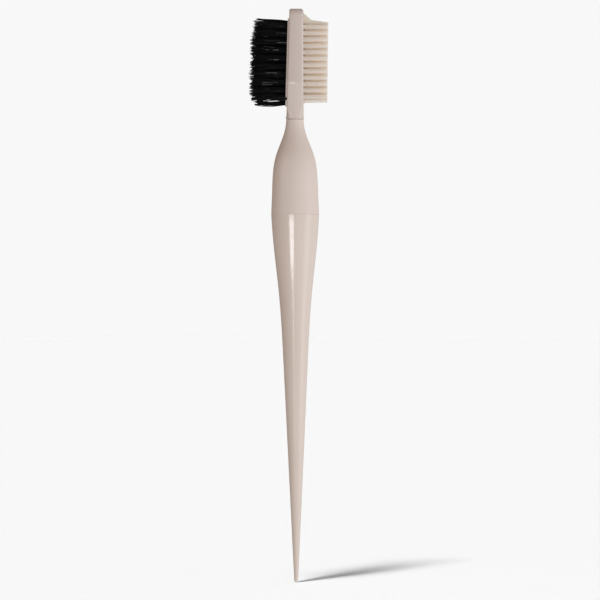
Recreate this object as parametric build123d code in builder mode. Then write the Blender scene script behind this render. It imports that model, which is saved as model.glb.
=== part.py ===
"""Double-sided tint brush: bristle tufts on one face of a slim head, a fine comb on the other.

The head is pressed into a matte grip, and the grip into a glossy tail that ends in a parting point.
+Z runs from the tail's tip to the top of the head, the bristles face -X and the comb faces +X.
The origin is the tip of the tail, on the handle's axis.
"""
import os

from build123d import *

# Driving dimensions, in millimetres.
overall_length = 200.0
joint_z = 128.5  # the widest ring, where the grip meets the tail
neck_z = 161.7  # where the head sits on the grip
widest_radius = 8.37
neck_radius = 3.05
tip_radius = 0.72
tip_round_z = 1.1  # where the tip starts to round off
straight_from_z = 78.0  # below this the tail is a straight taper
straight_from_radius = 4.32

# Radius and height of the outline's points between those: the grip's shoulder, then the tail's swell.
neck_foot = (3.34, 158.8)
cone_middle = (4.72, 154.3)
cone_top = (6.57, 149.4)
shoulder = (7.6, 144.4)
grip_middle = (8.06, 136.0)
swell_top = (7.3, 115.0)
swell_middle = (5.78, 101.0)

# How much the outline's radius grows for each millimetre down, at the ends of its curves.
neck_flare = 0.02
grip_end_flare = 0.04
tail_start_flare = -0.045

# Head plate.
head_depth = 13.6  # along Y
back_x = 3.07  # comb side
front_top_x = -1.78  # bristle side, at the top
front_low_x = -2.84  # bristle side, at the plate's low end
side_crown = 0.45  # how far the plate's sides bulge
bend_z = 174.0  # where the plate starts to narrow
plate_end_z = 165.6  # where the plate starts to turn round
crown_radius = 2.4
bend_radius = 5.0
front_edge_radius = 0.6
back_edge_radius = 0.9
pad_rise = 0.5
pad_inset = 0.8
pad_bottom_z = 166.2
pad_top_z = 196.5
pad_corner_radius = 1.5
pad_edge_radius = 0.25
seam_gap = 0.06  # shadow line between the head and the grip
collar_height = 0.85  # rounded ring round the end of the neck
collar_rise = 0.12
collar_edge_radius = 0.3
tang_radius = 1.7
tang_length = 12.5
tang_lead = 0.4

# Bristle tufts.
tuft_radius = 0.95
tuft_tip_radius = 1.32
tuft_first_z = 167.6
tuft_last_z = 195.3
tufts_in_middle_row = 11
row_spacing = 3.1
hole_bottom_x = -0.4
tuft_clearance = 0.03
bristle_length = 13.9  # from the plate's front face to the tips
corner_drop = 1.6  # how much shorter the last tuft at each end is trimmed
trim_power = 7  # how squarely the brush is trimmed

# Wire anchors at the bottom of the tuft holes.
anchor_width = 2.5
anchor_thickness = 0.35
anchor_height = 1.5
anchor_floor = 0.3  # filament below the anchor

# Comb.
comb_tip_low_x = 11.4  # tips of the lowest and the highest teeth
comb_tip_high_x = 11.8
strip_depth = 1.2
strip_width = 5.0
strip_bottom_z = 166.7
strip_top_z = 198.85
strip_corner_radius = 0.8
tooth_pitch = 2.22
near_first_z = 169.5
near_teeth = 12
far_teeth = 13  # the first and the last stand behind the guards
tooth_row_y = 1.3
tooth_height = 1.6  # along Z, at the root
tooth_width = 1.5  # along Y, at the root
tooth_corner_radius = 0.35
tooth_taper = 0.7  # degrees
tooth_tip_radius = 0.1
tooth_embed = 0.6  # how deep in the strip the teeth start
guard_width = 2.7  # along Y
guard_gap = 0.3  # between the top tooth's root and the guard
top_guard_root = 1.3  # along Z, at the gusset
top_guard_tip = 0.45
gusset_reach = 2.85
gusset_radius = 1.2
low_guard_gap = 0.12
low_guard_height = 0.74
low_root_drop = 0.55
low_root_reach = 1.0

# Joints and cores inside the handle.
socket_clearance = 0.05
seam_edge_radius = 0.1
grip_top_radius = 0.2
spigot_radius = 5.15
spigot_length = 9.6
spigot_lead = 0.5
grip_core_radius = 3.7
grip_core_top_radius = 3.3
grip_core_top_z = 145.5
socket_floor_gap = 0.6
tail_core_radius = 4.9
tail_core_end_radius = 2.2
tail_core_end_z = 76.0
tail_core_nose = 3.0

# Worked out from the dimensions above.
half_depth = head_depth / 2
slope = (half_depth - neck_radius) / (bend_z - neck_z)
cut_z = plate_end_z - 1  # the plate's outlines go on a little past its end
lean = (front_top_x - front_low_x) / (overall_length - plate_end_z)
tuft_pitch = (tuft_last_z - tuft_first_z) / (tufts_in_middle_row - 1)
tuft_middle_z = (tuft_first_z + tuft_last_z) / 2
near_last_z = near_first_z + (near_teeth - 1) * tooth_pitch
comb_lean = (comb_tip_high_x - comb_tip_low_x) / (near_last_z - near_first_z)
tang_end_z = neck_z - tang_length
tail_slope = (straight_from_radius - tip_radius) / (straight_from_z - tip_round_z)


def front_x(z):
    """The plate's front face at a height: it leans out towards the neck."""
    return front_top_x - lean * (overall_length - z)


def trimmed_tip_x(z):
    """Where a tuft is trimmed: along the front face over most of the brush, shorter at both ends."""
    from_middle = abs(z - tuft_middle_z) / (tuft_last_z - tuft_middle_z)
    return front_x(z) - bristle_length + corner_drop * from_middle**trim_power


def tooth_tip_x(z):
    """Where a comb tooth ends: the higher ones reach a little further."""
    return comb_tip_low_x + comb_lean * (z - near_first_z)


middle_row = [(0, tuft_first_z + i * tuft_pitch) for i in range(tufts_in_middle_row)]
side_rows = [
    (side * row_spacing, tuft_first_z + (i + 0.5) * tuft_pitch)
    for side in (-1, 1)
    for i in range(tufts_in_middle_row - 1)
]
tuft_places = middle_row + side_rows

# The tufts are drawn on a plane at the bottom of their holes that faces the bristle side, so its
# local x is -Y. The comb is drawn on the plate's back face, where local x is Y.
tuft_plane = Plane(origin=(hole_bottom_x, 0, 0), x_dir=(0, -1, 0), z_dir=(-1, 0, 0))
tuft_points = [(-y, z) for y, z in tuft_places]
comb_plane = Plane.YZ.offset(back_x)

# Wire anchors, pressed across the bottom of each hole so that their ends bite into the plate.
with BuildPart() as tuft_anchors:
    with BuildSketch(tuft_plane.offset(anchor_floor)):
        with Locations(*tuft_points):
            Rectangle(anchor_width, anchor_thickness)
    extrude(amount=anchor_height)
tuft_anchors.part.label = "tuft_anchors"

# Comb: a strip set into the plate's back, with two staggered rows of teeth and a guard at each end.
near_row = [(-tooth_row_y, near_first_z + i * tooth_pitch) for i in range(near_teeth)]
far_row = [(tooth_row_y, near_first_z + (i - 0.5) * tooth_pitch) for i in range(far_teeth)]
low_guard_top_z = near_first_z - tooth_height / 2 - low_guard_gap
low_guard_z = low_guard_top_z - low_guard_height
top_guard_z = near_last_z + tooth_height / 2 + guard_gap
buried_x = back_x - tooth_embed
strip_size = (strip_width, strip_top_z - strip_bottom_z)
strip_centre = (0, (strip_top_z + strip_bottom_z) / 2)

with BuildPart() as comb:
    with BuildSketch(comb_plane.offset(-strip_depth)):
        with Locations(strip_centre):
            RectangleRounded(*strip_size, strip_corner_radius)
    extrude(amount=strip_depth)
    # From the lowest tooth up, so that the newest one always reaches furthest.
    for y, z in sorted(near_row + far_row, key=lambda place: place[1]):
        with BuildSketch(comb_plane.offset(-tooth_embed)):
            with Locations((y, z)):
                RectangleRounded(tooth_width, tooth_height, tooth_corner_radius)
        extrude(amount=tooth_tip_x(z) - buried_x, taper=tooth_taper)
        fillet(comb.faces().sort_by(Axis.X)[-1].edges(), radius=tooth_tip_radius)
    # Top guard: its outer edge runs down a sloping gusset from the strip's end.
    with BuildSketch(Plane.XZ) as top_guard:
        with BuildLine():
            Polyline(
                (buried_x, strip_top_z),
                (back_x, strip_top_z),
                (back_x + gusset_reach, top_guard_z + top_guard_root),
                (comb_tip_high_x, top_guard_z + top_guard_tip),
                (comb_tip_high_x, top_guard_z),
                (buried_x, top_guard_z),
                close=True,
            )
        make_face()
        gusset_corner = top_guard.vertices().sort_by_distance(
            (back_x + gusset_reach, 0, top_guard_z + top_guard_root)
        )[0]
        fillet(gusset_corner, radius=gusset_radius)
    extrude(amount=guard_width / 2, both=True)
    # Low guard: straight, with a sloping root.
    with BuildSketch(Plane.XZ):
        with BuildLine():
            Polyline(
                (buried_x, low_guard_top_z),
                (comb_tip_low_x, low_guard_top_z),
                (comb_tip_low_x, low_guard_z),
                (back_x + low_root_reach, low_guard_z),
                (back_x, low_guard_z - low_root_drop),
                (buried_x, low_guard_z - low_root_drop),
                close=True,
            )
        make_face()
    extrude(amount=guard_width / 2, both=True)
comb.part.label = "comb"


def plate_outline(half):
    """The plate seen from the bristle side, for a half depth: a rounded crown, narrowing to the neck."""
    end_half = half - slope * (bend_z - cut_z)
    with BuildSketch() as outline:
        with BuildLine():
            Polyline(
                (-end_half, cut_z),
                (end_half, cut_z),
                (half, bend_z),
                (half, overall_length),
                (-half, overall_length),
                (-half, bend_z),
                close=True,
            )
        make_face()
        fillet(outline.vertices().group_by(Axis.Y)[-1], radius=crown_radius)
        fillet(outline.vertices().filter_by_position(Axis.Y, bend_z, bend_z), radius=bend_radius)
    return outline.sketch


# Head plate: lofted through three outlines so that its sides bulge, cut to its side view, then lofted
# to a round neck.
pad_middle_z = (pad_bottom_z + pad_top_z) / 2
pad_plane = Plane(origin=(front_x(pad_middle_z), 0, pad_middle_z), x_dir=(0, -1, 0), z_dir=(-1, 0, lean))

with BuildPart() as head_block:
    for x, bulge in ((front_low_x, 0), ((front_low_x + back_x) / 2, side_crown), (back_x, 0)):
        with BuildSketch(Plane.YZ.offset(x)):
            add(plate_outline(half_depth - side_crown + bulge))
    loft()
    with BuildSketch(Plane.XZ):
        with BuildLine():
            Polyline(
                (back_x, plate_end_z),
                (back_x, overall_length),
                (front_top_x, overall_length),
                (front_x(plate_end_z), plate_end_z),
                close=True,
            )
        make_face()
    extrude(amount=half_depth, both=True, mode=Mode.INTERSECT)
    fillet(head_block.faces().sort_by(Axis.X)[-1].edges().sort_by(Axis.Z)[1:], radius=back_edge_radius)
    fillet(head_block.faces().sort_by(Axis.X)[0].edges().sort_by(Axis.Z)[1:], radius=front_edge_radius)
    with BuildSketch(Plane.XY.offset(neck_z + seam_gap), mode=Mode.PRIVATE) as neck_end:
        Circle(neck_radius)
    loft(sections=[head_block.faces().sort_by(Axis.Z)[0], neck_end.sketch.faces()[0]])
    # Collar at the end of the neck.
    with BuildSketch(Plane.XY.offset(neck_z + seam_gap)):
        Circle(neck_radius + collar_rise)
    extrude(amount=collar_height)
    fillet(head_block.faces().sort_by(Axis.Z)[0].edges(), radius=collar_edge_radius)
    # Raised pad under the bristles: the front view, inset, drawn on the leaning front face.
    with BuildSketch(pad_plane) as pad_outline:
        with Locations((0, -pad_middle_z)):
            add(plate_outline(half_depth - side_crown))
        offset(amount=-pad_inset, mode=Mode.REPLACE)
        Rectangle(head_depth, pad_top_z - pad_bottom_z, mode=Mode.INTERSECT)
        fillet(pad_outline.vertices().group_by(Axis.Y)[0], radius=pad_corner_radius)
    extrude(amount=pad_rise, both=True)
    pad_centre = (front_x(pad_middle_z) - pad_rise, 0, pad_middle_z)
    fillet(head_block.faces().sort_by_distance(pad_centre)[0].edges(), radius=pad_edge_radius)
    # Blind holes for the tufts, with slots that the anchors' ends have bitten.
    with BuildSketch(tuft_plane):
        with Locations(*tuft_points):
            Circle(tuft_radius)
    extrude(amount=bristle_length, mode=Mode.SUBTRACT)
    add(tuft_anchors.part, mode=Mode.SUBTRACT)
    # Groove in the back for the comb's strip.
    with BuildSketch(comb_plane.offset(-strip_depth)):
        with Locations(strip_centre):
            RectangleRounded(*strip_size, strip_corner_radius)
    extrude(amount=2 * strip_depth, mode=Mode.SUBTRACT)
    # Tang that goes down into the grip.
    with BuildSketch(Plane.XY.offset(tang_end_z)):
        Circle(tang_radius)
    extrude(amount=tang_length + 2 * seam_gap)
    chamfer(head_block.edges().group_by(Axis.Z)[0], length=tang_lead)
head_block.part.label = "head_block"

# Grip: a bottle-shouldered body, cored from below, with a socket for the tang and a spigot for the tail.
with BuildPart() as grip:
    with BuildSketch(Plane.XZ):
        with BuildLine():
            Spline(
                (neck_radius, neck_z),
                neck_foot,
                cone_middle,
                cone_top,
                shoulder,
                grip_middle,
                (widest_radius, joint_z),
                tangents=[(neck_flare, -1), (grip_end_flare, -1)],
            )
            Polyline((widest_radius, joint_z), (0, joint_z), (0, neck_z), (neck_radius, neck_z))
        make_face()
    revolve(axis=Axis.Z)
    fillet(grip.edges().group_by(Axis.Z)[-1], radius=grip_top_radius)
    fillet(grip.edges().group_by(Axis.Z)[0], radius=seam_edge_radius)
    with BuildSketch(Plane.XY.offset(joint_z)):
        Circle(spigot_radius)
    extrude(amount=-spigot_length)
    chamfer(grip.edges().group_by(Axis.Z)[0], length=spigot_lead)
    with BuildSketch(Plane.XY.offset(tang_end_z - socket_floor_gap)):
        Circle(tang_radius + socket_clearance)
    extrude(amount=tang_length + 2 * socket_floor_gap, mode=Mode.SUBTRACT)
    with BuildSketch(Plane.XZ):
        with BuildLine():
            Polyline(
                (0, joint_z - spigot_length),
                (grip_core_radius, joint_z - spigot_length),
                (grip_core_top_radius, grip_core_top_z - grip_core_top_radius / 2),
                (grip_core_top_radius / 2, grip_core_top_z),
                (0, grip_core_top_z),
                close=True,
            )
        make_face()
    revolve(axis=Axis.Z, mode=Mode.SUBTRACT)
grip.part.label = "grip"

# Tail: swells away from the grip, then runs straight to a rounded parting point. Cored from above.
with BuildPart() as tail:
    with BuildSketch(Plane.XZ):
        with BuildLine():
            swell = Spline(
                (widest_radius, joint_z),
                swell_top,
                swell_middle,
                (straight_from_radius, straight_from_z),
                tangents=[(tail_start_flare, -1), (-tail_slope, -1)],
            )
            Line(swell @ 1, (tip_radius, tip_round_z))
            Spline((tip_radius, tip_round_z), (0, 0), tangents=[(-tail_slope, -1), (-1, 0)])
            Polyline((0, 0), (0, joint_z), (widest_radius, joint_z))
        make_face()
    revolve(axis=Axis.Z)
    fillet(tail.edges().group_by(Axis.Z)[-1], radius=seam_edge_radius)
    with BuildSketch(Plane.XY.offset(joint_z)):
        Circle(spigot_radius + socket_clearance)
    extrude(amount=-spigot_length - socket_floor_gap, mode=Mode.SUBTRACT)
    with BuildSketch(Plane.XZ):
        with BuildLine():
            Polyline(
                (0, joint_z),
                (tail_core_radius, joint_z),
                (tail_core_radius, joint_z - spigot_length - socket_floor_gap),
                (tail_core_end_radius, tail_core_end_z),
                (0, tail_core_end_z - tail_core_nose),
                close=True,
            )
        make_face()
    revolve(axis=Axis.Z, mode=Mode.SUBTRACT)
tail.part.label = "tail"

os.makedirs("parts", exist_ok=True)
for piece in (head_block, comb, grip, tail, tuft_anchors):
    export_step(piece.part, f"parts/{piece.part.label}.step")

# Bristle tufts: each fills its hole, clears its anchor and flares a little towards the trimmed tips.
for number, (y, z) in enumerate(tuft_places, start=1):
    root_length = hole_bottom_x - front_x(z) + pad_rise
    with BuildPart() as tuft:
        with BuildSketch(tuft_plane):
            with Locations((-y, z)):
                Circle(tuft_radius - tuft_clearance)
        extrude(amount=root_length)
        with BuildSketch(tuft_plane.offset(root_length)):
            with Locations((-y, z)):
                Circle(tuft_radius - tuft_clearance)
        with BuildSketch(tuft_plane.offset(hole_bottom_x - trimmed_tip_x(z))):
            with Locations((-y, z)):
                Circle(tuft_tip_radius)
        loft()
        with BuildSketch(tuft_plane.offset(anchor_floor)):
            with Locations((-y, z)):
                Rectangle(anchor_width, anchor_thickness)
        extrude(amount=anchor_height, mode=Mode.SUBTRACT)
    tuft.part.label = f"tuft_{number:02d}"
    export_step(tuft.part, f"parts/{tuft.part.label}.step")
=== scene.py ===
import math
import random

import bpy
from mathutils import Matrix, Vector


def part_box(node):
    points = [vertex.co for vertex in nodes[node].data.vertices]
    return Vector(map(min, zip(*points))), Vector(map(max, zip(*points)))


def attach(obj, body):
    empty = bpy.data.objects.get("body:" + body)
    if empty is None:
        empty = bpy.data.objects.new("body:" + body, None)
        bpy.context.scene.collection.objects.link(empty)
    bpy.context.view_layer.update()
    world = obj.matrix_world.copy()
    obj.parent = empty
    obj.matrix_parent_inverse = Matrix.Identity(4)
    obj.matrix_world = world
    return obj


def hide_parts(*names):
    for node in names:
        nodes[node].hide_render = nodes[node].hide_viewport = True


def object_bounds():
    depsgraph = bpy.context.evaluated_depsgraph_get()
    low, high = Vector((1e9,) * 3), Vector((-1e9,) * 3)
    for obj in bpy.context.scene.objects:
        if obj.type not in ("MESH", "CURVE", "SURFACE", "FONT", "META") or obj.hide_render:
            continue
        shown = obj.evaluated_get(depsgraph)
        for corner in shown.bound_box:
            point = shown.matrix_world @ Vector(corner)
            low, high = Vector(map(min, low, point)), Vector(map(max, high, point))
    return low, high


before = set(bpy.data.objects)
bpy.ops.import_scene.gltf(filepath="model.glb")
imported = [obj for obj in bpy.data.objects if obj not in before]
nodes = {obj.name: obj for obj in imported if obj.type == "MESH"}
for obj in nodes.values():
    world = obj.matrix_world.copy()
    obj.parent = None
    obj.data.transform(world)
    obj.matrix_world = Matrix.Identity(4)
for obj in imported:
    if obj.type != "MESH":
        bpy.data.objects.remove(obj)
cad_low, cad_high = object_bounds()

# Lengths are in metres. The brush stands on its tail's tip, the bristles face -X and the comb +X.
MM = 0.001
height = cad_high.z - cad_low.z

# Camera: level, square on to the brush's side.
camera_distance = 1.0
view_height = 1.0483 * height  # what the picture takes in
view_centre_z = cad_low.z + 0.4932 * height
view_centre_x = 1.6 * MM
camera_roll = math.radians(0.17)
sensor = 36.0

# Stage.
floor_half = 7.0
dome_radius = 8.0
backdrop_level = 0.94
shadow_level = 0.30  # the floor where the overhead lamps don't reach

# Room light, as a smooth gradient from a dim warm side to a bright side at the front right, below.
room_middle = (0.653, 0.627, 0.612)
room_swing = (0.49, 0.54, 0.58)
room_bright_side = Vector((0.64, -0.37, -0.67)).normalized()


def link(thing):
    bpy.context.scene.collection.objects.link(thing)
    return thing


def aim(thing, target):
    """Turns a lamp's or a camera's -Z towards a point."""
    thing.rotation_euler = (Vector(target) - thing.location).to_track_quat("-Z", "Y").to_euler()


def add_camera():
    """A long view that takes in the whole brush."""
    data = bpy.data.cameras.new("camera")
    data.sensor_fit = "HORIZONTAL"
    data.sensor_width = sensor
    data.lens = sensor * camera_distance / view_height
    data.clip_start = 0.01
    data.clip_end = 4 * dome_radius
    camera = link(bpy.data.objects.new("camera", data))
    camera.location = (view_centre_x, -camera_distance, view_centre_z)
    camera.rotation_euler = (math.radians(90), camera_roll, 0)
    bpy.context.scene.camera = camera


# ---------------------------------------------------------------- materials


def new_material(name):
    """An empty node material with its Principled shader wired to the output."""
    material = bpy.data.materials.new(name)
    material.use_nodes = True
    shader = material.node_tree.nodes["Principled BSDF"]
    return material, shader


# Blender gives a Mix node's colour sockets the same names as its number sockets, so these are their places.
first_colour = 6
second_colour = 7
mixed_colour = 2


class Nodes:
    """Short ways to add nodes to one material."""

    def __init__(self, material):
        self.tree = material.node_tree
        self.place = self.add("ShaderNodeTexCoord").outputs["Object"]

    def add(self, kind, **settings):
        node = self.tree.nodes.new(kind)
        for key, value in settings.items():
            setattr(node, key, value)
        return node

    def join(self, output, socket):
        self.tree.links.new(output, socket)

    def noise(self, scale, stretch=(1, 1, 1), detail=3.0):
        """Noise in object space; stretch divides the pattern's density along each axis."""
        mapping = self.add("ShaderNodeMapping")
        mapping.inputs["Scale"].default_value = [1 / s for s in stretch]
        self.join(self.place, mapping.inputs["Vector"])
        noise = self.add("ShaderNodeTexNoise")
        noise.inputs["Scale"].default_value = scale
        noise.inputs["Detail"].default_value = detail
        self.join(mapping.outputs["Vector"], noise.inputs["Vector"])
        return noise.outputs["Fac"]

    def spread(self, value, low, high):
        """Noise brought from its usual 0.3 to 0.7 to a range."""
        span = self.add("ShaderNodeMapRange")
        span.inputs["From Min"].default_value = 0.3
        span.inputs["From Max"].default_value = 0.7
        span.inputs["To Min"].default_value = low
        span.inputs["To Max"].default_value = high
        self.join(value, span.inputs["Value"])
        return span.outputs["Result"]

    def blend(self, factor, first, second):
        """Colour between two colours by a factor."""
        mix = self.add("ShaderNodeMix", data_type="RGBA")
        self.join(factor, mix.inputs["Factor"])
        mix.inputs[first_colour].default_value = (*first, 1)
        mix.inputs[second_colour].default_value = (*second, 1)
        return mix.outputs[mixed_colour]

    def bump(self, height_field, distance, under=None):
        """Bumps of a given height, on top of another node's normal where there is one."""
        bump = self.add("ShaderNodeBump")
        bump.inputs["Distance"].default_value = distance
        bump.inputs["Strength"].default_value = 1.0
        self.join(height_field, bump.inputs["Height"])
        if under is not None:
            self.join(under, bump.inputs["Normal"])
        return bump.outputs["Normal"]


# Noise densities per metre, so 1000 / density is the pattern's size in millimetres.
mottle_density = 90
handling_density = 260
grain_density = 2600
wave_density = 45
plastic_ior = 1.49


def plastic(name, light, dark, roughness, grain, wave=0.0):
    """Moulded plastic: a faint mottle, uneven gloss, a fine grain and, where asked for, slow waves."""
    material, shader = new_material(name)
    kit = Nodes(material)
    mottle = kit.spread(kit.noise(mottle_density, stretch=(1, 1, 4)), 0, 1)
    kit.join(kit.blend(mottle, light, dark), shader.inputs["Base Color"])
    handling = kit.noise(handling_density, stretch=(1, 1, 8), detail=4)
    kit.join(kit.spread(handling, *roughness), shader.inputs["Roughness"])
    normal = kit.bump(kit.noise(grain_density, detail=2), grain)
    if wave:
        normal = kit.bump(kit.noise(wave_density, stretch=(1, 1, 2.5), detail=1), wave, under=normal)
    kit.join(normal, shader.inputs["Normal"])
    shader.inputs["IOR"].default_value = plastic_ior
    return material


# Translucent teeth.
light_reach = 7.0 * MM
light_reach_by_colour = (1.0, 0.9, 0.75)
glow_ramp = 0.6 * MM  # from the strip's plain plastic to the teeth's glow


def translucent_from(material, x, strip_colour):
    """Lets light through a plastic past a given X: the teeth glow, and the strip they stand on doesn't."""
    kit = Nodes(material)
    shader = material.node_tree.nodes["Principled BSDF"]
    axes = kit.add("ShaderNodeSeparateXYZ")
    kit.join(kit.place, axes.inputs["Vector"])
    rise = kit.add("ShaderNodeMapRange")
    rise.inputs["From Min"].default_value = x
    rise.inputs["From Max"].default_value = x + glow_ramp
    kit.join(axes.outputs["X"], rise.inputs["Value"])
    kit.join(rise.outputs["Result"], shader.inputs["Subsurface Weight"])
    shader.inputs["Subsurface Radius"].default_value = light_reach_by_colour
    shader.inputs["Subsurface Scale"].default_value = light_reach
    colour = kit.add("ShaderNodeMix", data_type="RGBA")
    kit.join(rise.outputs["Result"], colour.inputs["Factor"])
    colour.inputs[first_colour].default_value = (*strip_colour, 1)
    kit.join(shader.inputs["Base Color"].links[0].from_socket, colour.inputs[second_colour])
    kit.join(colour.outputs[mixed_colour], shader.inputs["Base Color"])


brass_light = (0.72, 0.47, 0.16)
brass_dark = (0.50, 0.31, 0.10)
brass_roughness = (0.25, 0.42)
drawing_density = 900


def brass(name):
    """Drawn wire, streaked along its length."""
    material, shader = new_material(name)
    kit = Nodes(material)
    drawn = kit.noise(drawing_density, stretch=(1, 6, 1))
    kit.join(kit.blend(kit.spread(drawn, 0, 1), brass_light, brass_dark), shader.inputs["Base Color"])
    kit.join(kit.spread(drawn, *brass_roughness), shader.inputs["Roughness"])
    shader.inputs["Metallic"].default_value = 1.0
    return material


nylon_black = (0.0018, 0.0018, 0.0022)
# Painted highlight: a light grey put into the base colour where a filament should catch the light.
nylon_painted_gleam = (0.34, 0.34, 0.36)
nylon_roughness = (0.32, 0.5)
nylon_specular = 0.08
nylon_grain = 0.004 * MM
streak_density = 1500
nylon_grain_density = 5000


def bristle_plastic(name):
    """Black nylon filament: each has its own dull tone and, on some, a painted highlight along a part of
    it, kept in the mesh.
    """
    material, shader = new_material(name)
    kit = Nodes(material)
    shade = kit.add("ShaderNodeAttribute", attribute_name="shade").outputs["Fac"]
    # The base colour runs from black to the painted highlight by each face's shade.
    kit.join(kit.blend(shade, nylon_black, nylon_painted_gleam), shader.inputs["Base Color"])
    streaks = kit.noise(streak_density, stretch=(8, 1, 1))
    kit.join(kit.spread(streaks, *nylon_roughness), shader.inputs["Roughness"])
    grain = kit.noise(nylon_grain_density, stretch=(10, 1, 1))
    kit.join(kit.bump(grain, nylon_grain), shader.inputs["Normal"])
    shader.inputs["Specular IOR Level"].default_value = nylon_specular
    return material


# ---------------------------------------------------------------- bristles

filaments = 84
filament_radius = 0.09 * MM
filament_tip_radius = 0.05 * MM
filament_sides = 5
filament_rings = 9
taper_power = 3  # the filaments thin mostly near the tip
clumps = 7
golden_angle = math.radians(137.508)  # spreads points evenly over a disc
hole_radius = 0.92 * MM
tuft_step = 2.75 * MM  # from one tuft of a row to the next
straight_root = 2.6 * MM  # how far the filaments run straight out of the hole
gather = 0.8  # share of its place in the hole that a filament loses on the way to its clump
swing_power = 1.25  # how late a filament turns to its clump
arch_power = 1.2  # how late a bow has its middle
fan_power = 0.3  # how early a tuft leans up or down
sideways = 1.25  # clumps spread further along the rows' spacing than along the brush
clump_unevenness = 1.5 * MM
clump_point = 0.65 * MM  # how much shorter a clump is towards its edge
trim_unevenness = 0.2 * MM
stray = 0.2 * MM
fan_up = 0.75 * MM
fan_down = 0.1 * MM
fan_out = 1.3 * MM  # less at the low end, where the plate narrows

# A tuft's bow up or down, how unevenly its filaments bow, and how wide its clumps spread.
lowest_middle_habit = (-0.4 * MM, 0.16 * MM, 1.0 * MM)
lowest_side_habit = (0.7 * MM, 0.24 * MM, 1.4 * MM)
top_middle_habit = (0.0, 0.1 * MM, 1.15 * MM)
usual_habit = (0.0, 0.14 * MM, 1.7 * MM)

# Painted highlights along single filaments, more often at a side row's outer edge.
outside_share = 0.4  # of the hole's radius past a side row's middle: from there on a filament shows
gleam_chance_outside = 0.15
gleam_chance_inside = 0.02
gleam_strength = (0.1, 0.8)
gleam_most_rings = 4
gleam_tip_rings = 3  # the tips stay black
dull_shade = 0.02


def disc_point(index, count, radius):
    """Evenly spread points over a disc."""
    distance = radius * math.sqrt((index + 0.5) / count)
    return distance * math.cos(index * golden_angle), distance * math.sin(index * golden_angle)


def add_tube(points, radii, vertices, faces):
    """One filament along points that run towards -X, closed at both ends."""
    first = len(vertices)
    for (x, y, z), radius in zip(points, radii):
        for side in range(filament_sides):
            angle = math.tau * side / filament_sides
            vertices.append((x, y + radius * math.cos(angle), z + radius * math.sin(angle)))
    for ring in range(len(points) - 1):
        start = first + ring * filament_sides
        for side in range(filament_sides):
            after = (side + 1) % filament_sides
            faces.append((start + side, start + after,
                          start + filament_sides + after, start + filament_sides + side))
    last = first + (len(points) - 1) * filament_sides
    faces.append(tuple(first + side for side in reversed(range(filament_sides))))
    faces.append(tuple(last + side for side in range(filament_sides)))


def habit(z, y):
    """How far a tuft bows up or down, how unevenly, and how wide its tips spread: the lowest ones part."""
    middle_row = abs(y) < row_y / 2
    if middle_row and z < tufts_low_z + tuft_step:
        return lowest_middle_habit
    if not middle_row and z < tufts_low_z + 1.5 * tuft_step:
        return lowest_side_habit
    if middle_row and z > tufts_high_z - tuft_step:
        return top_middle_habit
    return usual_habit


def lean(y, z):
    """How far a tuft's tips lean out and up or down, away from the brush's middle."""
    middle_z = (tufts_low_z + tufts_high_z) / 2
    from_middle = (z - middle_z) / (tufts_high_z - middle_z)
    leaning = min(1.0, (z - tufts_low_z - tuft_step) / (2 * tuft_step))
    return fan_out * leaning * y / row_y, from_middle * (fan_up if from_middle > 0 else fan_down)


def clump_places(draw, spread):
    """Where the clumps' tips lie round the tuft's middle."""
    turn = draw.uniform(0, math.tau)
    places = []
    for index in range(clumps):
        y, z = disc_point(index, clumps, spread)
        places.append((sideways * (y * math.cos(turn) - z * math.sin(turn)),
                       y * math.sin(turn) + z * math.cos(turn)))
    return places


def filament_path(root, length, tip, fan, bow):
    """Points and radii from the hole to the tip. All but the root's place are offsets in Y and Z."""
    root_x, centre_y, centre_z, root_dy, root_dz = root
    points = []
    radii = []
    for ring in range(filament_rings):
        t = ring / (filament_rings - 1)
        free = max(0.0, (t * length - straight_root) / (length - straight_root))
        swing = free ** swing_power
        arch = math.sin(math.pi * free ** arch_power)
        rise = free ** fan_power
        kept = 1 - gather * swing
        y = centre_y + root_dy * kept + swing * (tip[0] + fan[0]) + arch * bow[0]
        z = centre_z + root_dz * kept + swing * tip[1] + rise * fan[1] + arch * bow[1]
        points.append((root_x - t * length, y, z))
        radii.append(filament_radius + (filament_tip_radius - filament_radius) * t ** taper_power)
    return points, radii


def filament_shades(draw, outside):
    """One shade for each face of a filament: a dull tone, and here and there a painted highlight along a
    part of it.
    """
    gleams = draw.random() < (gleam_chance_outside if outside else gleam_chance_inside)
    gleam = draw.uniform(*gleam_strength) if gleams else 0
    first = draw.randrange(filament_rings - gleam_tip_rings)
    last = min(first + draw.randint(1, gleam_most_rings), filament_rings - gleam_tip_rings)
    dull = dull_shade * draw.random()
    shades = []
    for ring in range(filament_rings - 1):
        shade = max(dull, gleam) if first <= ring < last else dull
        shades.extend([shade] * filament_sides)
    shades.extend([dull] * 2)
    return shades


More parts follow.
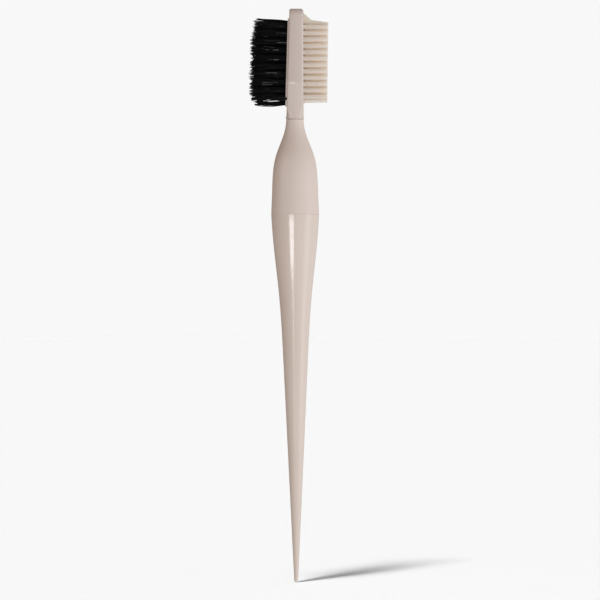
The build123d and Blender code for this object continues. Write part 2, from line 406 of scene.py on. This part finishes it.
def grow_tuft(node, draw):
    """Filaments from one hole of the head, gathered in pointed clumps at their trimmed tips."""
    low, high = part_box(node)
    centre_y = (low.y + high.y) / 2
    centre_z = (low.z + high.z) / 2
    reach = high.x - low.x
    fan = lean(centre_y, centre_z)
    parted, loose, spread = habit(centre_z, centre_y)
    places = clump_places(draw, spread)
    clump_short = [draw.uniform(0, clump_unevenness) for _ in range(clumps)]
    vertices = []
    faces = []
    shades = []
    for index in range(filaments):
        root_dy, root_dz = disc_point(index, filaments, hole_radius - filament_radius)
        clump = draw.randrange(clumps)
        stray_y = draw.gauss(0, stray)
        stray_z = draw.gauss(0, stray)
        off_centre = math.hypot(stray_y, stray_z) / stray
        length = reach - clump_short[clump] - abs(draw.gauss(0, trim_unevenness)) - clump_point * off_centre
        bow = (draw.gauss(0, loose), draw.gauss(0, loose) + parted)
        tip = (places[clump][0] + stray_y, places[clump][1] + stray_z)
        root = (high.x, centre_y, centre_z, root_dy, root_dz)
        points, radii = filament_path(root, length, tip, fan, bow)
        add_tube(points, radii, vertices, faces)
        # Filaments at a side row's outer edge get a painted highlight more often.
        outside = abs(centre_y + root_dy) > row_y + outside_share * hole_radius
        shades.extend(filament_shades(draw, outside))
    return vertices, faces, shades


def add_tuft(number, node, material):
    """One tuft's mesh, in place of its CAD stand-in."""
    vertices, faces, shades = grow_tuft(node, random.Random(number))
    mesh = bpy.data.meshes.new(f"bristles_{number:02d}")
    mesh.from_pydata(vertices, [], faces)
    mesh.polygons.foreach_set("use_smooth", [True] * len(faces))
    mesh.attributes.new("shade", "FLOAT", "FACE").data.foreach_set("value", shades)
    mesh.materials.append(material)
    tuft = link(bpy.data.objects.new(mesh.name, mesh))
    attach(tuft, "root")
    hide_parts(node)


tuft_nodes = sorted(name for name in nodes if name.startswith("tuft_") and name != "tuft_anchors")
tuft_boxes = [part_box(name) for name in tuft_nodes]
tufts_low_z = min(low.z for low, high in tuft_boxes)
tufts_high_z = max(high.z for low, high in tuft_boxes)
row_y = max((low.y + high.y) / 2 for low, high in tuft_boxes)

bristle = bristle_plastic("bristle_black")
for number, name in enumerate(tuft_nodes, start=1):
    add_tuft(number, name, bristle)

# ---------------------------------------------------------------- CAD pieces

# For each plastic: its light and dark shade, its range of roughness, the grain's height and the waves'.
finishes = {
    "head_block": plastic("head_gloss", (0.665, 0.57, 0.515), (0.63, 0.535, 0.48),
                          (0.12, 0.20), 0.0006 * MM),
    "comb": plastic("comb_cream", (0.99, 0.785, 0.635), (0.97, 0.745, 0.575),
                    (0.28, 0.40), 0.003 * MM),
    "grip": plastic("grip_satin", (0.775, 0.665, 0.60), (0.745, 0.63, 0.565),
                    (0.36, 0.46), 0.004 * MM),
    "tail": plastic("tail_gloss", (0.755, 0.645, 0.575), (0.725, 0.615, 0.545),
                    (0.11, 0.16), 0.0001 * MM, wave=0.003 * MM),
    "tuft_anchors": brass("anchor_brass"),
}
strip_cream = (0.78, 0.68, 0.60)
plate_back_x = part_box("head_block")[1].x
translucent_from(finishes["comb"], plate_back_x + 0.1 * MM, strip_cream)
for name, material in finishes.items():
    nodes[name].material_slots[0].material = material

# ---------------------------------------------------------------- stage and light


matt_share = 2 / 3  # how much of a linear gradient's swing a matt surface takes in


def room_light(direction):
    """What the room sends from all round onto a surface that faces a direction, for each colour."""
    share = matt_share * room_bright_side.dot(direction)
    return [middle + swing * share for middle, swing in zip(room_middle, room_swing)]


floor_light = room_light(Vector((0, 0, 1)))
floor_albedo = [shadow_level / light for light in floor_light]


def add_world():
    """The room's gradient, from its direction alone."""
    world = bpy.data.worlds.new("studio")
    world.use_nodes = True
    tree = world.node_tree
    place = tree.nodes.new("ShaderNodeTexCoord")
    dot = tree.nodes.new("ShaderNodeVectorMath")
    dot.operation = "DOT_PRODUCT"
    dot.inputs[1].default_value = room_bright_side
    span = tree.nodes.new("ShaderNodeMapRange")
    span.inputs["From Min"].default_value = -1
    span.inputs["From Max"].default_value = 1
    mix = tree.nodes.new("ShaderNodeMix")
    mix.data_type = "RGBA"
    mix.inputs[first_colour].default_value = (*(m - w for m, w in zip(room_middle, room_swing)), 1)
    mix.inputs[second_colour].default_value = (*(m + w for m, w in zip(room_middle, room_swing)), 1)
    tree.links.new(place.outputs["Generated"], dot.inputs[0])
    tree.links.new(dot.outputs["Value"], span.inputs["Value"])
    tree.links.new(span.outputs["Result"], mix.inputs["Factor"])
    tree.links.new(mix.outputs[mixed_colour], tree.nodes["Background"].inputs["Color"])
    bpy.context.scene.world = world


def camera_only(thing):
    """Hides a stage piece from everything but the camera."""
    for kind in ("diffuse", "glossy", "transmission", "volume_scatter", "shadow"):
        setattr(thing, "visible_" + kind, False)


def add_floor():
    """White paper that takes the floor suns' light and the shadow."""
    mesh = bpy.data.meshes.new("floor")
    half = floor_half
    corners = [(-half, -half, cad_low.z), (half, -half, cad_low.z),
               (half, half, cad_low.z), (-half, half, cad_low.z)]
    mesh.from_pydata(corners, [], [(0, 1, 2, 3)])
    material, shader = new_material("floor_paper")
    shader.inputs["Base Color"].default_value = (*floor_albedo, 1)
    shader.inputs["Roughness"].default_value = 1.0
    shader.inputs["Specular IOR Level"].default_value = 0.0
    mesh.materials.append(material)
    floor = link(bpy.data.objects.new("floor", mesh))
    camera_only(floor)
    return floor


def add_backdrop():
    """An evenly lit sheet all round."""
    bpy.ops.mesh.primitive_uv_sphere_add(segments=48, ring_count=24, radius=dome_radius)
    dome = bpy.context.object
    dome.name = "backdrop"
    material = bpy.data.materials.new("backdrop_light")
    material.use_nodes = True
    tree = material.node_tree
    tree.nodes.clear()
    glow = tree.nodes.new("ShaderNodeEmission")
    glow.inputs["Color"].default_value = (backdrop_level, backdrop_level, backdrop_level, 1)
    out = tree.nodes.new("ShaderNodeOutputMaterial")
    tree.links.new(glow.outputs["Emission"], out.inputs["Surface"])
    dome.data.materials.append(material)
    camera_only(dome)


def light_only(lamp, *things):
    """Keeps a lamp to some objects."""
    group = bpy.data.collections.new(lamp.name + "_reach")
    for thing in things:
        group.objects.link(thing)
    lamp.light_linking.receiver_collection = group


# A long lamp overhead, front left, as a row of suns. Angles are in degrees.
suns = 8
sun_azimuth = -32.5
sun_low_elevation = 61
sun_high_elevation = 81
sun_width = 5


def add_floor_suns(floor):
    """Lights the floor alone, so the shadow fades along its length."""
    azimuth = math.radians(sun_azimuth)
    sweep = sun_high_elevation - sun_low_elevation
    needed = [(backdrop_level - shadow_level) / albedo for albedo in floor_albedo]
    for index in range(suns):
        elevation = math.radians(sun_low_elevation + sweep * (index + 0.5) / suns)
        data = bpy.data.lights.new(f"overhead_{index}", "SUN")
        data.angle = math.radians(sun_width)
        data.color = needed
        data.energy = math.pi / suns / math.sin(elevation)
        lamp = link(bpy.data.objects.new(data.name, data))
        lamp.location = (math.sin(azimuth) * math.cos(elevation),
                         -math.cos(azimuth) * math.cos(elevation), math.sin(elevation))
        aim(lamp, (0, 0, 0))
        light_only(lamp, floor)


def add_strip(name, azimuth, low_z, high_z, width, distance, level, *things):
    """A lamp seen only as a reflection. Azimuth 0 is the camera's side, and positive is to the right."""
    data = bpy.data.lights.new(name, "AREA")
    data.shape = "RECTANGLE"
    data.size = width
    data.size_y = high_z - low_z
    data.energy = level * math.pi * data.size * data.size_y  # the level is the lamp's radiance
    lamp = link(bpy.data.objects.new(name, data))
    middle_z = (low_z + high_z) / 2
    turn = math.radians(azimuth)
    lamp.location = (distance * math.sin(turn), -distance * math.cos(turn), middle_z)
    aim(lamp, (0, 0, middle_z))
    lamp.visible_camera = False
    lamp.visible_diffuse = False
    light_only(lamp, *things)


add_camera()
add_world()
floor = add_floor()
add_backdrop()
add_floor_suns(floor)

# Each strip: its azimuth, low and high end, width, distance and brightness, and what it shows on.
tail = nodes["tail"]
head = nodes["head_block"]
grip = nodes["grip"]
add_strip("tail_front", -17.5, 84 * MM, 121 * MM, 44 * MM, 0.12, 9, tail)
add_strip("tail_low", -15.5, 15 * MM, 84 * MM, 16 * MM, 0.12, 3, tail)
add_strip("right_wall", 67, -100 * MM, 300 * MM, 0.6, 1.0, 1.2, tail, head, grip)
add_strip("cone_left", -60, 220 * MM, 420 * MM, 0.3, 0.5, 2.0, grip)
add_strip("head_edge", 66, 120 * MM, 300 * MM, 0.2, 0.4, 2.0, head)
add_strip("head_bend", -10, 0, 120 * MM, 0.2, 0.5, 5.0, head)
add_strip("neck_right", 62, 20 * MM, 70 * MM, 40 * MM, 0.2, 6, head)
add_strip("neck_left", -42, 30 * MM, 50 * MM, 30 * MM, 0.2, 10, head)
bpy.context.scene.view_settings.view_transform = "Standard"
